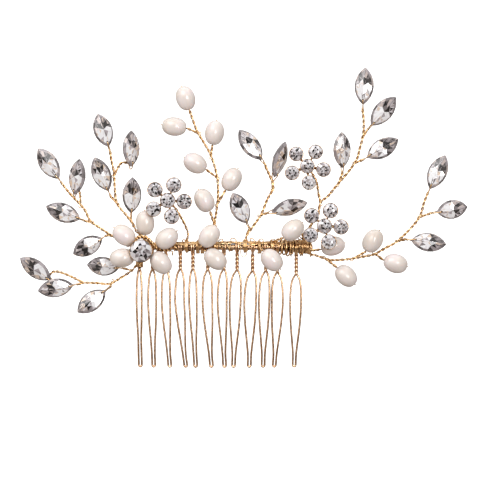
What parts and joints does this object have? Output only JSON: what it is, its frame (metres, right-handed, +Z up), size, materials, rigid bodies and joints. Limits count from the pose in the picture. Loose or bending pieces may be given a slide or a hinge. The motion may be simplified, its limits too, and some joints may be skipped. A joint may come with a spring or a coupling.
{
  "type": "decorative hair comb",
  "caption": "Wired side comb: hairpin teeth on a bowed spine, with navette crystal leaves, rice pearls and round-stone blossoms on posable wire sprigs.",
  "frame": {"origin": "middle of the comb spine's axis, where the teeth and the sprigs start", "axes": "+X along the spine to the wearer's side that carries the long right sprigs, as seen from the front; +Y towards the head, away from the front; +Z up out of the hair, so the teeth point to -Z"},
  "size_m": [0.1396, 0.0161, 0.0937],
  "materials": {
    "gold_wire": "bright gold-plated wire",
    "tooth_wire": "rose-gold plated wire, slightly satin",
    "gold_cup": "polished gold plate",
    "pearl": "ivory pink nacre lustre",
    "navette_crystal": "clear cut crystal, drilled at one end",
    "round_stone": "clear foil-backed cut stone"
  },
  "bodies": {
    "comb": {"comb_spine": "tooth_wire", "comb_tooth_1": "tooth_wire", "comb_tooth_2": "tooth_wire", "comb_tooth_3": "tooth_wire", "comb_tooth_4": "tooth_wire", "comb_tooth_5": "tooth_wire", "comb_tooth_6": "tooth_wire", "comb_tooth_7": "tooth_wire", "comb_tooth_8": "tooth_wire", "comb_tooth_9": "tooth_wire", "comb_tooth_10": "tooth_wire", "comb_tooth_11": "tooth_wire", "comb_tooth_12": "tooth_wire", "binding_wire": "gold_wire", "stem_roots": "gold_wire", "center_cup": "gold_cup", "center_stone": "round_stone", "petal_wires": "gold_wire", "spine_pearl_wires": "gold_wire", "right_blossom_stem": "gold_wire", "right_blossom_cups": "gold_cup", "right_blossom_stones": "round_stone"},
    "lower_left_sprig": {"lower_left_stem": "gold_wire", "lower_left_leaves": "navette_crystal"},
    "middle_left_sprig": {"middle_left_stem": "gold_wire", "middle_left_leaves": "navette_crystal"},
    "upper_left_sprig": {"upper_left_stem": "gold_wire", "upper_left_leaves": "navette_crystal"},
    "left_blossom": {"left_blossom_stem": "gold_wire", "left_blossom_cups": "gold_cup", "left_blossom_stones": "round_stone"},
    "pearl_spray": {"pearl_spray_stem": "gold_wire"},
    "center_sprig": {"center_stem": "gold_wire", "center_leaves": "navette_crystal"},
    "upper_right_sprig": {"upper_right_stem": "gold_wire", "upper_right_leaves": "navette_crystal", "upper_blossom_cups": "gold_cup", "upper_blossom_stones": "round_stone"},
    "lower_right_sprig": {"lower_right_stem": "gold_wire", "lower_right_leaves": "navette_crystal"},
    "petal_pearl_1": {"petal_pearl_1": "pearl"},
    "petal_pearl_2": {"petal_pearl_2": "pearl"},
    "petal_pearl_3": {"petal_pearl_3": "pearl"},
    "petal_pearl_4": {"petal_pearl_4": "pearl"},
    "petal_pearl_5": {"petal_pearl_5": "pearl"},
    "spine_pearl_1": {"spine_pearl_1": "pearl"},
    "spine_pearl_2": {"spine_pearl_2": "pearl"},
    "spine_pearl_3": {"spine_pearl_3": "pearl"},
    "spine_pearl_4": {"spine_pearl_4": "pearl"},
    "spine_pearl_5": {"spine_pearl_5": "pearl"},
    "spray_pearl_1": {"spray_pearl_1": "pearl"},
    "spray_pearl_2": {"spray_pearl_2": "pearl"},
    "spray_pearl_3": {"spray_pearl_3": "pearl"},
    "spray_pearl_4": {"spray_pearl_4": "pearl"},
    "spray_pearl_5": {"spray_pearl_5": "pearl"},
    "spray_pearl_6": {"spray_pearl_6": "pearl"},
    "lower_right_pearl_1": {"lower_right_pearl_1": "pearl"},
    "lower_right_pearl_2": {"lower_right_pearl_2": "pearl"},
    "lower_right_pearl_3": {"lower_right_pearl_3": "pearl"}
  },
  "joints": [
    {"name": "lower_left_bend", "type": "hinge", "parent": "comb", "child": "lower_left_sprig", "pos_m": [-0.0265, 0.0018, -0.00705], "axis": [-0.5547, 0, 0.8321], "range_deg": [-20, 12]},
    {"name": "middle_left_bend", "type": "hinge", "parent": "comb", "child": "middle_left_sprig", "pos_m": [-0.03255, 0.0012, 0.00335], "axis": [0.5442, 0, 0.839], "range_deg": [-20, 15]},
    {"name": "upper_left_bend", "type": "hinge", "parent": "comb", "child": "upper_left_sprig", "pos_m": [-0.0256, 0.00105, 0.0054], "axis": [0.8352, 0, 0.55], "range_deg": [-20, 15]},
    {"name": "left_blossom_bend", "type": "hinge", "parent": "comb", "child": "left_blossom", "pos_m": [-0.00935, 0.00015, 0.0036], "axis": [0.9744, 0, 0.2249], "range_deg": [0, 20]},
    {"name": "pearl_spray_bend", "type": "hinge", "parent": "comb", "child": "pearl_spray", "pos_m": [-0.0012, 0.0009, 0.0047], "axis": [0.9975, 0, -0.0712], "range_deg": [-15, 15]},
    {"name": "center_bend", "type": "hinge", "parent": "comb", "child": "center_sprig", "pos_m": [0.0088, 0.0001, 0.0033], "axis": [0.8137, 0, -0.5812], "range_deg": [-15, 15]},
    {"name": "upper_right_bend", "type": "hinge", "parent": "comb", "child": "upper_right_sprig", "pos_m": [0.02635, 0.0021, 0.00355], "axis": [0.7761, 0, -0.6306], "range_deg": [-20, 10]},
    {"name": "lower_right_bend", "type": "hinge", "parent": "comb", "child": "lower_right_sprig", "pos_m": [0.0295, 0.00315, -0.00235], "axis": [-0.3162, 0, -0.9487], "range_deg": [-20, 15]},
    {"name": "petal_pearl_1_spin", "type": "hinge", "parent": "comb", "child": "petal_pearl_1", "pos_m": [-0.029, -0.0032, 0.0037], "axis": [0.7986, 0, -0.6018], "continuous": true},
    {"name": "petal_pearl_2_spin", "type": "hinge", "parent": "comb", "child": "petal_pearl_2", "pos_m": [-0.0226, -0.0014, 0.0075], "axis": [-0.0349, 0, 0.9994], "continuous": true},
    {"name": "petal_pearl_3_spin", "type": "hinge", "parent": "comb", "child": "petal_pearl_3", "pos_m": [-0.0158, -0.0034, 0.0027], "axis": [0.7986, 0, 0.6018], "continuous": true},
    {"name": "petal_pearl_4_spin", "type": "hinge", "parent": "comb", "child": "petal_pearl_4", "pos_m": [-0.0176, -0.0038, -0.0048], "axis": [0.6691, 0, -0.7431], "continuous": true},
    {"name": "petal_pearl_5_spin", "type": "hinge", "parent": "comb", "child": "petal_pearl_5", "pos_m": [-0.0296, -0.0032, -0.0033], "axis": [0.9962, 0, 0.0872], "continuous": true},
    {"name": "spine_pearl_1_spin", "type": "hinge", "parent": "comb", "child": "spine_pearl_1", "pos_m": [-0.0027, -0.0047, 0.0034], "axis": [0.6018, 0, 0.7986], "continuous": true},
    {"name": "spine_pearl_2_spin", "type": "hinge", "parent": "comb", "child": "spine_pearl_2", "pos_m": [-0.0008, -0.0048, -0.0037], "axis": [0.7771, 0, -0.6293], "continuous": true},
    {"name": "spine_pearl_3_spin", "type": "hinge", "parent": "comb", "child": "spine_pearl_3", "pos_m": [0.0166, -0.004, -0.004], "axis": [0.6947, 0, -0.7193], "continuous": true},
    {"name": "spine_pearl_4_spin", "type": "hinge", "parent": "comb", "child": "spine_pearl_4", "pos_m": [0.0231, -0.0032, 0.0053], "axis": [0.788, 0, 0.6157], "continuous": true},
    {"name": "spine_pearl_5_spin", "type": "hinge", "parent": "comb", "child": "spine_pearl_5", "pos_m": [0.0357, 0.0024, 0.0003], "axis": [0.9659, 0, 0.2588], "continuous": true},
    {"name": "spray_pearl_1_spin", "type": "hinge", "parent": "pearl_spray", "child": "spray_pearl_1", "pos_m": [-0.0101, 0.0012, 0.0462], "axis": [-0.309, 0, 0.9511], "continuous": true},
    {"name": "spray_pearl_2_spin", "type": "hinge", "parent": "pearl_spray", "child": "spray_pearl_2", "pos_m": [-0.0136, 0.0002, 0.0374], "axis": [0.9903, 0, -0.1392], "continuous": true},
    {"name": "spray_pearl_3_spin", "type": "hinge", "parent": "pearl_spray", "child": "spray_pearl_3", "pos_m": [-0.0011, 0.0014, 0.0355], "axis": [0.1736, 0, 0.9848], "continuous": true},
    {"name": "spray_pearl_4_spin", "type": "hinge", "parent": "pearl_spray", "child": "spray_pearl_4", "pos_m": [-0.0071, 0.0004, 0.026], "axis": [0.866, 0, -0.5], "continuous": true},
    {"name": "spray_pearl_5_spin", "type": "hinge", "parent": "pearl_spray", "child": "spray_pearl_5", "pos_m": [0.0042, 0.0016, 0.021], "axis": [0.5, 0, 0.866], "continuous": true},
    {"name": "spray_pearl_6_spin", "type": "hinge", "parent": "pearl_spray", "child": "spray_pearl_6", "pos_m": [-0.0043, 0.0004, 0.0145], "axis": [0.4695, 0, -0.8829], "continuous": true},
    {"name": "lower_right_pearl_1_spin", "type": "hinge", "parent": "lower_right_sprig", "child": "lower_right_pearl_1", "pos_m": [0.0481, 0.0032, 0.0019], "axis": [0.5446, 0, 0.8387], "continuous": true},
    {"name": "lower_right_pearl_2_spin", "type": "hinge", "parent": "lower_right_sprig", "child": "lower_right_pearl_2", "pos_m": [0.0553, 0.0044, -0.0051], "axis": [0.9659, 0, -0.2588], "continuous": true},
    {"name": "lower_right_pearl_3_spin", "type": "hinge", "parent": "lower_right_sprig", "child": "lower_right_pearl_3", "pos_m": [0.0398, 0.0028, -0.009], "axis": [0.7314, 0, -0.682], "continuous": true}
  ]
}
